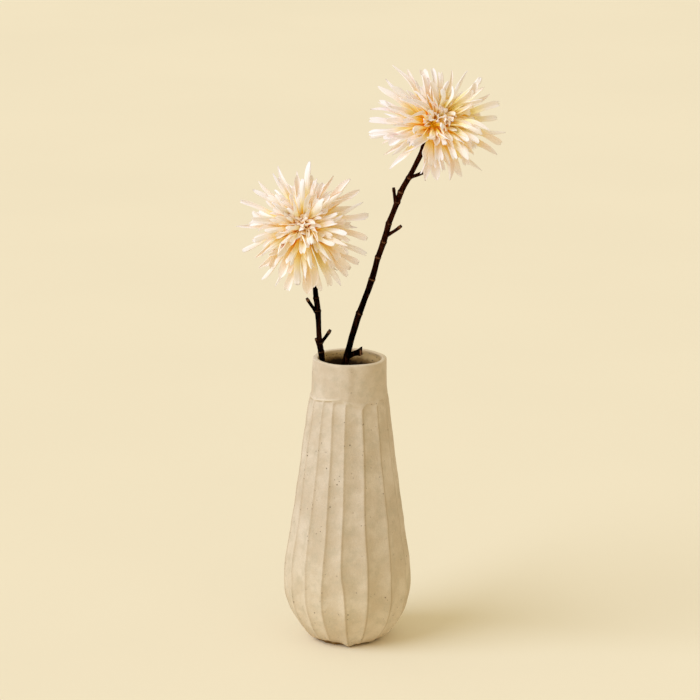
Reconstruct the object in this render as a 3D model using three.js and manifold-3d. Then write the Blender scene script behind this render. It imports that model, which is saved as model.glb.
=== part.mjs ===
// Two cream dahlias on woody stems in a hand-carved stoneware vase.
// Units are millimetres. +X is right, +Y is away from the viewer, +Z is up.
// The origin is the centre of the vase's flat underside.
import * as THREE from "three";
import { mergeVertices } from "three/addons/utils/BufferGeometryUtils.js";
import Module from "manifold-3d";

const wasm = await Module();
wasm.setup();

const RAD = Math.PI / 180;
const GAP = 0.3;

// Vase: outside
const RIM_Z = 270.4;
const LIP_OUTER_R = 34.2;
const LIP_INNER_R = 29.0;
const LIP_ROUND = 1.7;
const COLLAR_FOOT_R = 35.0;
const LEDGE_Z = 233.0;
const LEDGE_RISE = 1.5;
const FOOT_R = 32.0;
const WIDEST_R = 59.4;
// Height above the table and outer radius on a ridge
const BODY_PROFILE = [
  [0, FOOT_R], [2.5, 35.6], [6, 38.8], [16, 46.4], [30, 54.0], [44, 58.3], [60, WIDEST_R],
  [82, 57.8], [112, 53.0], [150, 47.8], [190, 42.2], [LEDGE_Z, 37.3],
];
const FLUTES = 16;
// How far a flute's floor lies inside the straight line between its two ridges, at the widest ring
const FLUTE_DEPTH = 0.6;
// Ridges that the viewer sees, in degrees round from the front, minus on the left
const SEEN_RIDGES = [-62.6, -41.8, -23.5, -4.8, 19, 44.5, 67];

// Vase: inside, height and radius of the bore
const FLOOR_Z = 9.0;
const BORE_PROFILE = [
  [FLOOR_Z, 27.5], [16, 37.5], [30, 46.5], [46, 52.6], [62, 53.8], [82, 52.0],
  [112, 47.4], [150, 41.8], [190, 36.2], [224, 31.0], [240, LIP_INNER_R], [RIM_Z, LIP_INNER_R],
];
const BORE_SIDES = 32;

// Stems: centre line, hand-placed from foot to tip, and radius at foot and at tip
const LOW_STEM = {
  foot_r: 3.1,
  tip_r: 2.5,
  points: [
    [2, 14, 10], [-7, 9, 90], [-17, 3, 190], [-25.3, -3, 268], [-28.5, -1.5, 304],
    [-30.3, 0, 327], [-33.5, 0.5, 352], [-37.6, -0.5, 372],
  ],
  twigs: [
    { from: [-30, 0, 313], to: [-39.2, -2, 326.2], r: 1.7 },
    { from: [-27.2, -2, 283], to: [-17.3, -4, 296.8], r: 1.8 },
    { from: [-27, -3, 279], to: [-30.6, -4.5, 289], r: 1.5 },
  ],
};
const HIGH_STEM = {
  foot_r: 3.9,
  tip_r: 2.4,
  points: [
    [-37, 9, 25], [-32, -1, 110], [-20, -14, 200], [-4.3, -24.4, 269], [5.2, -26, 304.7], [18, -29, 344.4],
    [30.5, -32, 387.6], [42.4, -35, 424.5], [51.5, -37, 445.5], [58.5, -38.5, 459.6], [64.0, -40.5, 472.5],
  ],
  twigs: [
    { from: [-2, -25, 279], to: [13.2, -25, 286.3], r: 3.1 },
    { from: [31, -32, 389.5], to: [46.5, -34, 400], r: 1.7 },
    { from: [41.5, -35, 421], to: [39, -36, 437.5], r: 1.7 },
    { from: [51, -37, 444.5], to: [66.4, -38, 450.4], r: 1.9 },
  ],
};
const STEM_SIDES = 8;
const STEPS_PER_POINT = 3;
const STEM_END_RUN = 6.0;
const TWIG_SIDES = 6;
const TWIG_TAPER = 0.2;

// Flower heads: receptacle centre, the way the flower faces, and the way its neck runs up into it.
// In the clearing, in degrees round from the right, no floret hides the neck from the viewer.
const LOW_HEAD = {
  centre: new THREE.Vector3(-42.3, -26, 398.3),
  facing: new THREE.Vector3(-0.02, -0.9, 0.44).normalize(),
  neck: new THREE.Vector3(-0.1, -0.8, 0.6).normalize(),
  squash: 0.0,
  clearing: [0, 0],
  // Tips that make the outline: degrees round from the right, reach and width in millimetres
  outline: [
    [11, 60, 5], [23, 59, 4], [34, 61, 5], [46, 61, 7], [60, 54, 4], [75, 46, 4], [85, 60, 6],
    [97, 51, 4], [113, 60, 5], [120, 56, 4], [135, 58, 4], [144, 57, 5], [158, 62, 4], [180, 61, 5],
    [202, 60, 4], [213, 52, 4], [223, 55, 6], [232, 61, 4], [245, 60, 4], [256, 60, 6], [274, 61, 8],
    [286, 60, 5], [294, 59, 5], [303, 63, 5], [312, 60, 5], [319, 57, 6], [327, 60, 5], [337, 63, 5],
    [350, 59, 5], [360, 49, 4],
  ],
};
const HIGH_HEAD = {
  centre: new THREE.Vector3(73.8, -52, 498.9),
  facing: new THREE.Vector3(0.6, -0.55, 0.58).normalize(),
  neck: new THREE.Vector3(0.36, -0.45, 0.82).normalize(),
  squash: 0.14,
  clearing: [227, 261],
  outline: [
    [7, 58, 5], [18, 62, 6], [29, 57, 4], [37, 56, 5], [46, 60, 5], [58, 57, 4], [72, 51, 4],
    [83, 48, 5], [92, 50, 4], [102, 50, 5], [116, 54, 4], [125, 64, 5], [137, 59, 4], [146, 60, 6],
    [158, 53, 5], [167, 58, 4], [177, 58, 6], [190, 59, 7], [201, 49, 4], [212, 52, 4], [226, 56, 6],
    [262, 51, 6], [274, 50, 6], [287, 52, 7], [299, 53, 6], [317, 60, 5], [335, 63, 5], [345, 63, 5],
    [354, 65, 5],
  ],
};
// The viewer's own directions at the heads' height: right, up in the picture, and towards the viewer
const VIEW_RIGHT = new THREE.Vector3(1, 0, 0);
const VIEW_UP = new THREE.Vector3(0, 0.2, 0.98).normalize();

// Receptacle: a ball with a thin green neck that joins it to the wood
const BALL_R = 9.0;
const NECK_R = 1.6;
const NECK_FOOT_R = 2.3;
const NECK_END = 18.0;
const BALL_STEPS = 12;

// Rings of florets, from the centre of the flower to its back
const RING_STEP = 11.0;
const FIRST_RING = 6.0;
const COLLAR_IN = BALL_R + GAP;
const COLLAR_OUT = 11.5;
const COLLAR_SIDES = 12;
const ROOT_R = 10.4;
// Florets in the ring, reach from the receptacle's centre and width, in millimetres
const RINGS = [
  { count: 4, reach: 23, width: 2.6 },
  { count: 7, reach: 25, width: 2.8 },
  { count: 10, reach: 29, width: 3.2 },
  { count: 12, reach: 35, width: 3.6 },
  { count: 14, reach: 43, width: 4.0 },
  { count: 16, reach: 49, width: 4.4 },
  { count: 17, reach: 53, width: 4.8 },
  { count: 17, reach: 55, width: 5.0 },
  { count: 17, reach: 56, width: 5.0 },
  { count: 16, reach: 55, width: 5.0 },
  { count: 14, reach: 53, width: 5.0 },
];
const ROOT_WIDTH = 1.8;
const FLORET_THICK = 1.2;
// Share of the reach at which a floret is widest
const WIDE_AT = 0.62;
const REACH_SCATTER = 0.08;
const TIP_SWAY = 3.5;
const SIDE_SWAY = 5.0;
const TURN_SCATTER = 0.2;
// A spread floret gives way to an outline floret nearer than this share of the spacing
const CLEAR_SHARE = 0.45;

const materials = {
  stoneware: new THREE.MeshStandardMaterial({ color: 0xcdb893, roughness: 0.9, metalness: 0 }),
  wood: new THREE.MeshStandardMaterial({ color: 0x2a1712, roughness: 0.7, metalness: 0 }),
  receptacle: new THREE.MeshStandardMaterial({ color: 0x7d8440, roughness: 0.7, metalness: 0 }),
  petal: new THREE.MeshStandardMaterial({ color: 0xfbeeda, roughness: 0.6, metalness: 0 }),
};

const object = new THREE.Group();

function addPiece(parent, name, geometry, material) {
  const mesh = new THREE.Mesh(geometry, material);
  mesh.name = name;
  parent.add(mesh);
  return mesh;
}

// Solids: join and cut closed meshes
function solidOf(geometry) {
  const bare = geometry.clone();
  bare.deleteAttribute("normal");
  bare.deleteAttribute("uv");
  const merged = mergeVertices(bare, 1e-4);
  return new wasm.Manifold(new wasm.Mesh({
    numProp: 3,
    vertProperties: new Float32Array(merged.attributes.position.array),
    triVerts: new Uint32Array(merged.index.array),
  }));
}

function geometryOf(solid) {
  const mesh = solid.getMesh();
  const geometry = new THREE.BufferGeometry();
  geometry.setAttribute("position", new THREE.BufferAttribute(mesh.vertProperties, 3));
  geometry.setIndex(new THREE.BufferAttribute(mesh.triVerts, 1));
  return geometry;
}

function closedFromRings(rings, tip) {
  // Rings of equal length are joined side to side. The first ring is capped flat, the last
  // one ends in the tip point, or in a flat cap when there is none.
  const sides = rings[0].length;
  const points = rings.flat();
  const index = [];
  for (let ring = 0; ring + 1 < rings.length; ring += 1) {
    for (let side = 0; side < sides; side += 1) {
      const next = (side + 1) % sides;
      const a = ring * sides + side;
      const b = ring * sides + next;
      const c = a + sides;
      const d = b + sides;
      index.push(a, b, d, a, d, c);
    }
  }
  for (let side = 1; side + 1 < sides; side += 1) {
    index.push(0, side + 1, side);
  }
  const last = (rings.length - 1) * sides;
  if (tip) {
    points.push(tip);
    for (let side = 0; side < sides; side += 1) {
      index.push(last + side, last + ((side + 1) % sides), points.length - 1);
    }
  } else {
    for (let side = 1; side + 1 < sides; side += 1) {
      index.push(last, last + side, last + side + 1);
    }
  }
  const geometry = new THREE.BufferGeometry().setFromPoints(points);
  geometry.setIndex(index);
  return geometry;
}

// A steady scatter: the same three whole numbers always give the same value from -1 to 1
function scatter(a, b, c) {
  let h = Math.imul(a + 17, 73856093) ^ Math.imul(b + 31, 19349663) ^ Math.imul(c + 7, 83492791);
  h = Math.imul(h ^ (h >>> 13), 1274126177);
  h ^= h >>> 16;
  return ((h >>> 0) / 4294967295) * 2 - 1;
}

// Vase
function ridgeAngles() {
  // The seen ridges stand where they are. The others share what is left of the round.
  const hidden = FLUTES - SEEN_RIDGES.length;
  const last = SEEN_RIDGES[SEEN_RIDGES.length - 1];
  const room = 360 - (last - SEEN_RIDGES[0]);
  const angles = [...SEEN_RIDGES];
  for (let i = 1; i <= hidden; i += 1) {
    angles.push(last + (room * i) / (hidden + 1));
  }
  return angles;
}

function atFront(angle, radius, z) {
  // Angle 0 is the front, plus is towards the right
  return new THREE.Vector3(radius * Math.sin(angle * RAD), -radius * Math.cos(angle * RAD), z);
}

function vaseOutside() {
  const ridges = ridgeAngles();
  const flutedRing = (z, ridgeR) => {
    const points = [];
    ridges.forEach((angle, i) => {
      const next = i + 1 < ridges.length ? ridges[i + 1] : ridges[0] + 360;
      points.push(atFront(angle, ridgeR, z));
      // The flute's floor lies on the chord between its two ridges, and a little below it
      const half = (next - angle) / 2;
      const chord = ridgeR * Math.cos(half * RAD);
      points.push(atFront(angle + half, chord - (FLUTE_DEPTH * ridgeR) / WIDEST_R, z));
    });
    return points;
  };
  const roundRing = (z, radius) => {
    const points = [];
    ridges.forEach((angle, i) => {
      const next = i + 1 < ridges.length ? ridges[i + 1] : ridges[0] + 360;
      points.push(atFront(angle, radius, z));
      points.push(atFront((angle + next) / 2, radius, z));
    });
    return points;
  };
  const rings = BODY_PROFILE.map(([z, radius]) => flutedRing(z, radius));
  rings.push(roundRing(LEDGE_Z + LEDGE_RISE, COLLAR_FOOT_R));
  rings.push(roundRing(RIM_Z - LIP_ROUND, LIP_OUTER_R));
  rings.push(roundRing(RIM_Z, LIP_OUTER_R - LIP_ROUND));
  return closedFromRings(rings);
}

function vaseInside() {
  const profile = [new THREE.Vector2(0, FLOOR_Z)];
  BORE_PROFILE.forEach(([z, radius]) => profile.push(new THREE.Vector2(radius, z)));
  profile.push(new THREE.Vector2(LIP_INNER_R + LIP_ROUND, RIM_Z + LIP_ROUND));
  profile.push(new THREE.Vector2(0, RIM_Z + LIP_ROUND));
  const geometry = new THREE.LatheGeometry(profile, BORE_SIDES);
  geometry.rotateX(Math.PI / 2);
  return geometry;
}

function makeVase() {
  const solid = solidOf(vaseOutside()).subtract(solidOf(vaseInside()));
  addPiece(object, "vase", geometryOf(solid), materials.stoneware);
}

// Stems
function alongCurve(points, steps, sides, radiusAt) {
  const curve = new THREE.CatmullRomCurve3(points.map((p) => new THREE.Vector3(...p)));
  const frames = curve.computeFrenetFrames(steps, false);
  const rings = [];
  for (let i = 0; i <= steps; i += 1) {
    const t = i / steps;
    const centre = curve.getPointAt(t);
    const ring = [];
    for (let side = 0; side < sides; side += 1) {
      const turn = (side / sides) * 2 * Math.PI;
      const out = frames.normals[i].clone().multiplyScalar(Math.cos(turn));
      out.addScaledVector(frames.binormals[i], Math.sin(turn));
      ring.push(centre.clone().addScaledVector(out, radiusAt(t)));
    }
    rings.push(ring);
  }
  return closedFromRings(rings);
}

function belowHead(head, distance) {
  // A point on the neck's line, this far from the receptacle's centre
  return head.centre.clone().addScaledVector(head.neck, -distance).toArray();
}

function makeStem(name, stem, head) {
  // The wood ends square to the receptacle's neck
  const points = [...stem.points, belowHead(head, NECK_END + STEM_END_RUN), belowHead(head, NECK_END + GAP)];
  const steps = STEPS_PER_POINT * (points.length - 1);
  const taper = (t) => stem.foot_r + (stem.tip_r - stem.foot_r) * t;
  let solid = solidOf(alongCurve(points, steps, STEM_SIDES, taper));
  stem.twigs.forEach((twig) => {
    const radius = (t) => twig.r * (1 - TWIG_TAPER * t);
    solid = solid.add(solidOf(alongCurve([twig.from, twig.to], 2, TWIG_SIDES, radius)));
  });
  addPiece(object, name, geometryOf(solid), materials.wood);
}

// Flower heads, built facing +Z round their receptacle's centre
function polar(angle, turn, distance) {
  return new THREE.Vector3(
    distance * Math.sin(angle) * Math.cos(turn),
    distance * Math.sin(angle) * Math.sin(turn),
    distance * Math.cos(angle),
  );
}

function turnedSolid(profile) {
  const geometry = new THREE.LatheGeometry(profile, COLLAR_SIDES);
  geometry.rotateX(Math.PI / 2);
  return geometry;
}

function makeReceptacle(head) {
  const ball = [];
  for (let step = 0; step <= BALL_STEPS; step += 1) {
    const angle = (Math.PI * step) / BALL_STEPS;
    const r = step === BALL_STEPS ? 0 : BALL_R * Math.sin(angle);
    ball.push(new THREE.Vector2(r, -BALL_R * Math.cos(angle)));
  }
  const neck = [
    new THREE.Vector2(0, -NECK_END),
    new THREE.Vector2(NECK_FOOT_R, -NECK_END),
    new THREE.Vector2(NECK_R, -BALL_R / 2),
    new THREE.Vector2(0, -BALL_R / 2),
  ];
  // The neck leaves the ball on the stem's side, a little off the flower's own axis
  const neckGeometry = turnedSolid(neck);
  const way = head.neck.clone().applyQuaternion(head.inverse);
  neckGeometry.applyQuaternion(new THREE.Quaternion().setFromUnitVectors(new THREE.Vector3(0, 0, 1), way));
  return geometryOf(solidOf(turnedSolid(ball)).add(solidOf(neckGeometry)));
}

function collar(ring) {
  // The skin of the receptacle that one ring of florets grows from
  const half = (GAP / 2) / COLLAR_OUT;
  const start = ring === 0 ? 0 : (FIRST_RING + RING_STEP * (ring - 0.5)) * RAD + half;
  const end = (FIRST_RING + RING_STEP * (ring + 0.5)) * RAD - half;
  const at = (angle, r) => new THREE.Vector2(r * Math.sin(angle), r * Math.cos(angle));
  const profile = [at(start, COLLAR_IN), at(end, COLLAR_IN), at(end, COLLAR_OUT), at(start, COLLAR_OUT)];
  if (ring > 0) {
    profile.push(profile[0].clone());
  }
  return turnedSolid(profile);
}

function floret(angle, turn, reach, width, sway, lean) {
  // A flat strap: narrow root, widest past the middle, pointed tip
  const stations = [
    { at: ROOT_R, width: ROOT_WIDTH },
    { at: ROOT_R + (reach - ROOT_R) * WIDE_AT, width },
  ];
  const bend = (r) => ((r - ROOT_R) / (reach - ROOT_R)) ** 1.5;
  const rings = stations.map((station) => {
    const t = bend(station.at);
    const a = angle + sway * t;
    const b = turn + lean * t;
    const centre = polar(a, b, station.at);
    const side = new THREE.Vector3(-Math.sin(b), Math.cos(b), 0);
    const front = polar(a - Math.PI / 2, b, 1);
    return [
      centre.clone().addScaledVector(side, station.width / 2),
      centre.clone().addScaledVector(front, FLORET_THICK / 2),
      centre.clone().addScaledVector(side, -station.width / 2),
      centre.clone().addScaledVector(front, -FLORET_THICK / 2),
    ];
  });
  return closedFromRings(rings, polar(angle + sway, turn + lean, reach));
}

function inClearing(head, way) {
  // Degrees round from the right, as the viewer sees the way that a floret points
  const clock = Math.atan2(way.dot(VIEW_UP), way.dot(VIEW_RIGHT)) / RAD + 360;
  return clock > head.clearing[0] && clock < head.clearing[1];
}

function ringFlorets(head, ring, seed) {
  // Outline florets stand where the viewer sees them. The others are spread between them.
  const angle = (FIRST_RING + RING_STEP * ring) * RAD;
  const list = [];
  head.outline.forEach(([clock, reach, width]) => {
    const way = VIEW_RIGHT.clone().multiplyScalar(Math.cos(clock * RAD));
    way.addScaledVector(VIEW_UP, Math.sin(clock * RAD)).applyQuaternion(head.inverse);
    const own = Math.round((Math.acos(way.z) / RAD - FIRST_RING) / RING_STEP);
    if (Math.min(own, RINGS.length - 1) === ring) {
      list.push({ turn: Math.atan2(way.y, way.x), reach, width, sway: 0, lean: 0 });
    }
  });
  const fixed = list.length;
  const spec = RINGS[ring];
  for (let i = 0; i < spec.count; i += 1) {
    const pitch = (2 * Math.PI) / spec.count;
    const turn = pitch * (i + 0.5 * (ring % 2) + TURN_SCATTER * scatter(seed, ring, i));
    const clear = list.slice(0, fixed).every((other) => {
      const apart = Math.abs(Math.atan2(Math.sin(turn - other.turn), Math.cos(turn - other.turn)));
      return apart > CLEAR_SHARE * pitch;
    });
    const way = polar(angle, turn, 1).applyQuaternion(head.turned);
    if (clear && !inClearing(head, way)) {
      const uneven = 1 + REACH_SCATTER * scatter(seed, ring, i + 100);
      const reach = spec.reach * (1 - head.squash * way.z * way.z) * uneven;
      const sway = TIP_SWAY * RAD * scatter(seed, ring, i + 200);
      const lean = SIDE_SWAY * RAD * scatter(seed, ring, i + 300);
      list.push({ turn, reach, width: spec.width, sway, lean });
    }
  }
  return list.map((one) => floret(angle, one.turn, one.reach, one.width, one.sway, one.lean));
}

function makeHead(name, head, seed) {
  const group = new THREE.Group();
  group.position.copy(head.centre);
  head.turned = new THREE.Quaternion().setFromUnitVectors(new THREE.Vector3(0, 0, 1), head.facing);
  head.inverse = head.turned.clone().invert();
  group.quaternion.copy(head.turned);
  object.add(group);
  addPiece(group, `${name}_receptacle`, makeReceptacle(head), materials.receptacle);
  for (let ring = 0; ring < RINGS.length; ring += 1) {
    let solid = solidOf(collar(ring));
    ringFlorets(head, ring, seed).forEach((one) => {
      solid = solid.add(solidOf(one));
    });
    const label = String(ring + 1).padStart(2, "0");
    addPiece(group, `${name}_florets_${label}`, geometryOf(solid), materials.petal);
  }
}

makeVase();
makeStem("low_stem", LOW_STEM, LOW_HEAD);
makeStem("high_stem", HIGH_STEM, HIGH_HEAD);
makeHead("low", LOW_HEAD, 1);
makeHead("high", HIGH_HEAD, 2);

export default object;
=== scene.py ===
"""Two cream dahlias on bare woody stems, standing in a hand-carved stoneware vase with sixteen flutes."""
import math

import bpy
import numpy as np
from mathutils import Matrix, Vector


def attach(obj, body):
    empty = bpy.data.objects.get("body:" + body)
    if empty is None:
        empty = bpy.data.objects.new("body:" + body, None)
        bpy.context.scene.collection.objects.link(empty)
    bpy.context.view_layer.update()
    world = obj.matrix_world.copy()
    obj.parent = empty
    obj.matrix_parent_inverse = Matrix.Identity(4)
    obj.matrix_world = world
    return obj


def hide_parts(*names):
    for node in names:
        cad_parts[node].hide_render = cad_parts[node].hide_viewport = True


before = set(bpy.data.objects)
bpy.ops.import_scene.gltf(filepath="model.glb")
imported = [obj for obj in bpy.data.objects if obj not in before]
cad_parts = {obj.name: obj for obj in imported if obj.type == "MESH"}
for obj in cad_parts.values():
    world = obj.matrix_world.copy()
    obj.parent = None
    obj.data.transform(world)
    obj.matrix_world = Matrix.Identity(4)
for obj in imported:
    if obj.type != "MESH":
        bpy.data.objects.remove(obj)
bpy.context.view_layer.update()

# All shapes are worked out in millimetres and written to Blender in metres
MM = 0.001
TAU = 2 * math.pi

# Camera: a long lens looking down at the vase, with the small roll of the photograph
CAMERA_PLACE = (0.9, -3283.5, 1120.0)
CAMERA_PITCH = 14.4
CAMERA_ROLL = 0.46
CAMERA_LENS = 189.2

# Light: a broad cool key from the left front, and a warm room round it
KEY_FROM = (-0.70, -0.37, 0.61)
KEY_COLOUR = (0.72, 0.82, 1.0)
KEY_STRENGTH = 1.94
KEY_SPREAD = 48.0
ROOM_COLOUR = (1.0, 0.865, 0.59)
ROOM_STRENGTH = 0.715
FLOOR_COLOUR = (0.913, 0.842, 0.679)
FLOOR_HALF = 30000.0
LIGHT_BOUNCES = 40

# Vase: the same driving sizes as the solid model, and the softer hand-made detail
RIM_Z = 270.4
LIP_OUTER_R = 34.1
LIP_INNER_R = 29.0
COLLAR_FOOT_R = 35.4
LEDGE_Z = 233.0
FOOT_R = 32.0
WIDEST_R = 59.4
BODY_PROFILE = [
    (0, FOOT_R), (2.5, 35.6), (6, 38.8), (16, 46.4), (30, 54.0), (44, 58.3), (60, WIDEST_R),
    (82, 57.8), (112, 53.0), (150, 47.8), (190, 42.3), (216, 39.0), (228, 37.3), (234, 35.9), (240, 34.7),
    (246, 34.2),
]
BORE_FLOOR_Z = 9.0
BORE_PROFILE = [
    (BORE_FLOOR_Z, 27.5), (16, 37.5), (30, 46.5), (46, 52.6), (62, 53.8), (82, 52.0),
    (112, 47.4), (150, 41.8), (190, 36.2), (224, 31.0), (240, 29.2), (262, LIP_INNER_R),
]
FLUTES = 16
# The ridges that the viewer sees, in degrees from the front. The hidden ones are spread evenly.
SEEN_RIDGES = [-62.6, -41.8, -23.5, -4.8, 19.0, 44.5, 67.0]
RIDGE_TOP = 242.0
FLUTE_HOLLOW = 1.75
FLUTE_SQUARENESS = 2.3
RIDGE_ROUND = 0.7
RIDGE_CREST = 0.36
RIDGE_WANDER = 0.8
# The front ridge swings to the right on its way down to the corner of the foot: height, degrees
FRONT_RIDGE = 3
FRONT_LINE = [
    (0, 2.7), (5, 1.0), (16, -0.9), (42, -2.4), (62, -4.0), (78, -6.3), (110, -6.2), (150, -5.2),
    (RIDGE_TOP, -4.8),
]
# How crisp each ridge is. The front one is soft in its upper half.
RIDGE_CRISP = [0.5, 0.5, 0.6, 0.85, 1.0, 1.1, 1.2, 0.8, 0.7, 0.9, 0.8, 0.7, 0.9, 0.8, 0.6, 0.6]
# The line where the collar overhangs the flutes: degrees from the front, height
LEDGE_LINE = [
    (-180, 233.0), (-120, 234.0), (-90, 234.2), (-62, 234.4), (-46, 235.6), (-24, 237.4), (-12, 238.0),
    (2, 236.8), (11, 234.6), (19, 233.6), (33, 235.2), (45, 234.6), (56, 236.6), (68, 235.4), (90, 235.0),
    (130, 233.5), (180, 233.0),
]
# How much each flute ends in a round arch, and how far the arch comes down at its sides
FLUTE_ARCH = [0.1, 0.1, 0.1, 0.2, 1.0, 1.0, 0.8, 0.6, 0.9, 0.5, 1.0, 0.7, 0.9, 0.4, 0.3, 0.1]
ARCH_DROP = 3.4
# The seam down the front of the collar: its angle and half its width in radians, its height, its stain
SEAM_TURN = 0.03
SEAM_WIDTH = 0.04
SEAM_RISE = 0.25
SEAM_STAIN = 0.45
# How softly the hollow of each flute begins under the ledge
FLUTE_FADE = [1.8, 1.8, 4.0, 5.0, 1.8, 1.8, 2.0, 4.0, 3.0, 5.0, 3.0, 4.0, 3.0, 3.0, 3.0, 2.5]
# The roll of clay pushed over the ends of the flutes: degrees from the front, height of the roll
LEDGE_ROLL = [
    (-180, 0.3), (-70, 0.5), (-40, 0.95), (-22, 0.8), (-10, 0.1), (6, 0.3), (18, 0.1), (45, 0.12),
    (90, 0.2), (180, 0.3),
]
# The foot's edge is trimmed by hand: it touches the table at one corner and is lifted on its left.
# Each place is its angle from the front and its half width, in radians.
FOOT_CORNER = (0.06, 0.15)
FOOT_LEFT = (-0.55, 0.40)
CORNER_OUT = 3.4
LEFT_IN = 0.5
FOOT_LIFT = 1.4
CORNER_DROP = 1.3
FOOT_WAVE = 0.2
# How dark the underside is, the gap between the lifted foot and the table, and the edge over that gap
UNDERSIDE_SHADE = 0.3
GAP_SHADE = 0.48
EDGE_SHADE = 0.6
# The neck leans a little to the right, and the body is a little fuller low on its right
NECK_LEAN = 0.8
BULGE = 2.4
BULGE_Z = 22.0
BULGE_HALF = 13.0
# Rows of points up the outside and down the inside: from one height to another, and how many
OUTSIDE_ROWS = [(1.0, 9.0, 9), (9.0, 222.0, 70), (222.0, 241.0, 44), (241.0, RIM_Z - 2.2, 13)]
INSIDE_ROWS = [(RIM_Z - 2.8, 226.0, 34), (226.0, BORE_FLOOR_Z + 0.5, 36)]
LIP_STEPS = 12
LIP_RISE = 1.7
# Columns of one flute, in shares of its width from the ridge on its left to the ridge on its right
FLUTE_COLUMNS = [
    0.0, 0.018, 0.038, 0.062, 0.092, 0.13, 0.18, 0.24, 0.31, 0.38, 0.46, 0.54, 0.62, 0.69, 0.76, 0.82,
    0.87, 0.908, 0.938, 0.962, 0.982,
]

# Stems: the same centre lines as the solid model
LOW_STEM = {
    "foot_r": 3.1,
    "tip_r": 2.3,
    "points": [
        (2, 14, 10), (-7, 9, 90), (-17, 3, 190), (-25.3, -3, 268), (-28.5, -1.5, 304),
        (-30.3, 0, 327), (-33.5, 0.5, 352), (-37.6, -0.5, 372),
    ],
    "twigs": [
        {"from": (-30, 0, 313), "to": (-39.2, -2, 326.2), "r": 1.7},
        {"from": (-27.2, -2, 283), "to": (-17.3, -4, 296.8), "r": 1.8},
        {"from": (-27, -3, 279), "to": (-30.6, -4.5, 289), "r": 1.5},
    ],
    "scars": [276.0, 284.0, 314.0, 326.0, 352.0],
}
HIGH_STEM = {
    "foot_r": 3.9,
    "tip_r": 2.2,
    "points": [
        (-37, 9, 25), (-32, -1, 110), (-20, -14, 200), (-4.3, -24.4, 269), (5.2, -26, 304.7),
        (18, -29, 344.4), (30.5, -32, 387.6), (42.4, -35, 424.5), (51.5, -37, 445.5),
        (58.5, -38.5, 459.6), (64.0, -40.5, 472.5),
    ],
    "twigs": [
        {"from": (-2, -25, 277.5), "to": (12.2, -25, 284.8), "r": 2.5, "flare": 2.5},
        {"from": (31.5, -32, 392), "to": (46.5, -34, 402), "r": 1.7},
        {"from": (41.5, -35, 421), "to": (39, -36, 437.5), "r": 1.7},
        {"from": (52, -37, 447.5), "to": (67, -38, 453), "r": 1.8},
    ],
    "scars": [262.0, 318.5, 351.0, 372.0, 386.5, 404.0, 424.0, 433.5, 447.0],
}
STEM_SIDES = 24
TWIG_SIDES = 14
STEM_STEP = 0.6
STEM_END_RUN = 6.0
STEM_KINK = 0.45
# Swellings and a groove at each ring scar: how high, how far above the scar, how wide along the stem
KNOTS = [(0.30, 0.0, 0.8), (0.22, 0.0, 4.5), (-0.16, 2.0, 0.8)]
SCAR_HALF = 0.45
# How far along a side twig its knob is
KNOB_AT = 0.86

# Short names for the tips of florets
P, R, B, N = "pointed", "rounded", "blunt", "notched"
# Heads. Outline: degrees round from the right, reach, width, tip. Seen, the florets that end in front of
# the others: degrees round from the right, how far out the viewer sees the tip, reach, width and tip.
# No spread floret hides the neck in the clearing, and some are left out in the thin place: both run from
# one number of degrees to another, and (0, 0) is none. Squash shortens spread florets that point up or
# down. Gold is how far out the golden root reaches, its lean how much further it reaches to the right and
# to the top, as painted shade on the side away from the light, and gold_edge how sharply it ends. Fine is
# the width of the tufts, which are more when narrower.
LOW_HEAD = {
    "centre": (-42.3, -26.0, 398.3),
    "facing": (-0.02, -0.9, 0.44),
    "neck": (-0.1, -0.8, 0.6),
    "squash": 0.0,
    "outline": [
        (11, 60, 5, B), (23, 59, 4, P), (34, 61, 5, R), (46, 61, 7, R), (60, 54, 4, P), (75, 46, 4, P),
        (85, 60, 6, R), (97, 51, 4, P), (113, 60, 5, P), (120, 56, 4, P), (135, 58, 4, R), (144, 57, 5, R),
        (158, 62, 4, N), (180, 61, 5, P), (202, 60, 4, N), (213, 52, 4, P), (223, 55, 6, P),
        (232, 61, 4, R), (245, 60, 4, P), (256, 60, 6, N), (274, 61, 8, R), (286, 60, 5, B),
        (294, 59, 5, N), (303, 63, 5, R), (312, 60, 5, B), (319, 57, 6, B), (327, 60, 5, B),
        (337, 63, 5, N), (350, 59, 5, B), (360, 49, 4, P),
    ],
    "seen": [
        (54, 32, 46, 8, R), (42, 48, 53, 5, P), (24, 34, 44, 4, N), (12, 29, 40, 5, N),
        (352, 40, 50, 5, B), (342, 28, 38, 6, N), (338, 44, 52, 5, P), (311, 39, 50, 5, P),
        (303, 27, 38, 5, N), (283, 38, 50, 5, R), (273, 46, 54, 5, P), (270, 24, 38, 6, N),
        (249, 36, 48, 6, N), (246, 50, 56, 7, R), (229, 34, 46, 5, B), (215, 45, 53, 5, P),
        (185, 34, 46, 5, B), (172, 47, 54, 5, N), (141, 36, 48, 6, P), (109, 27, 44, 5, P),
        (79, 31, 46, 4, N), (90, 44, 54, 5, B), (160, 27, 40, 5, P), (200, 26, 38, 5, N),
        (280, 55, 57, 7, R), (265, 52, 56, 6, B),
    ],
    "clearing": (0, 0),
    "thin": (240, 302),
    "gold": 1.0,
    "gold_shade_lean": (0.0, -0.28),
    "gold_edge": 1.0,
    "fine": 1.0,
}
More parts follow.
